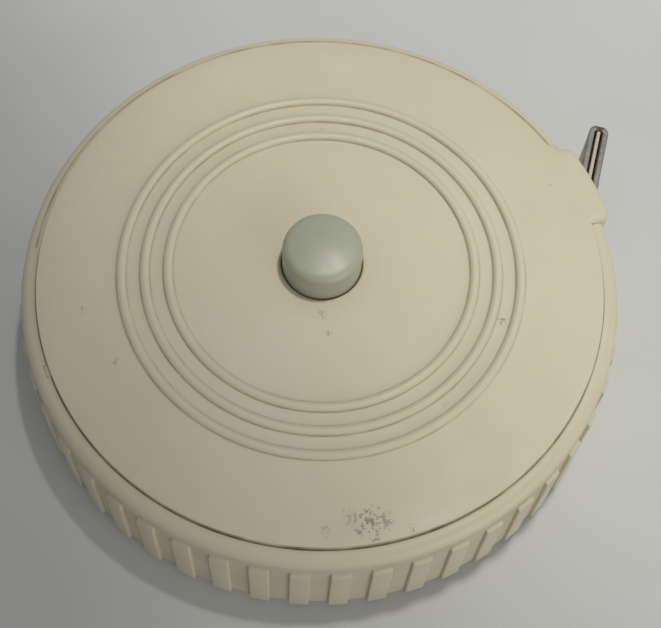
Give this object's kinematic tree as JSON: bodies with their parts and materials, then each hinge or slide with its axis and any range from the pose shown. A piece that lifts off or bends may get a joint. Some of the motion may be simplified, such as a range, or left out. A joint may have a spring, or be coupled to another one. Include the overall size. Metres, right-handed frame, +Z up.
{
  "type": "spring return tape measure",
  "caption": "Round spring return tape measure with a ribbed case, a centre push button brake and a metal clip on the tape end.",
  "frame": {"origin": "centre of the flat underside of the case, on the axis of the reel and button", "axes": "+Z up along the reel and button axis; +X and +Y across the case, with the tape mouth between them and the tape leaving at 76.5 degrees from +X"},
  "size_m": [0.0537, 0.0532, 0.0142],
  "materials": {
    "case_ivory": "ivory moulded plastic, slightly worn, soft sheen",
    "button_grey": "grey-green moulded plastic, polished dome",
    "white_plastic": "white moulded plastic, inside the case",
    "tape_cloth": "coated glass-fibre tape with a printed centimetre scale",
    "clip_metal": "dull nickel-plated steel, oxidised",
    "steel": "turned steel",
    "spring_steel": "blued spring steel",
    "brass": "turned brass",
    "rubber": "black friction rubber"
  },
  "bodies": {
    "case": {"case_body": "case_ivory", "case_cover": "case_ivory", "arbor": "steel", "thrust_washer": "white_plastic"},
    "reel": {"reel_drum": "white_plastic", "drum_cap": "white_plastic", "drum_cap_screws": "steel", "reel_bush": "brass", "tape_coil": "tape_cloth", "tape_anchor_pin": "steel", "mainspring": "spring_steel", "spring_anchor_pin": "steel"},
    "tape_end": {"tape_lead": "tape_cloth", "end_clip": "clip_metal", "clip_rivet": "clip_metal"},
    "button": {"push_button": "button_grey", "plunger": "steel", "brake_disc": "steel", "brake_ring": "rubber", "retaining_ring": "spring_steel", "button_spring": "spring_steel"}
  },
  "joints": [
    {"name": "reel_spin", "type": "hinge", "parent": "case", "child": "reel", "pos_m": [0, 0, 0.005], "axis": [0, 0, 1], "range_deg": [0, 4571], "deforming": ["mainspring"]},
    {"name": "tape_pull", "type": "slide", "parent": "case", "child": "tape_end", "axis": [0.2334, 0.9724, 0], "range_m": [0, 1.5]},
    {"name": "button_press", "type": "slide", "parent": "case", "child": "button", "axis": [0, 0, -1], "range_m": [0, 0.0012], "stiffness_N_per_m": 1500, "springref_m": -0.001, "deforming": ["button_spring"]}
  ],
  "couplings": [
    {"joint": "tape_pull", "follows": "reel_spin", "m_per_rad": 0.0188}
  ]
}
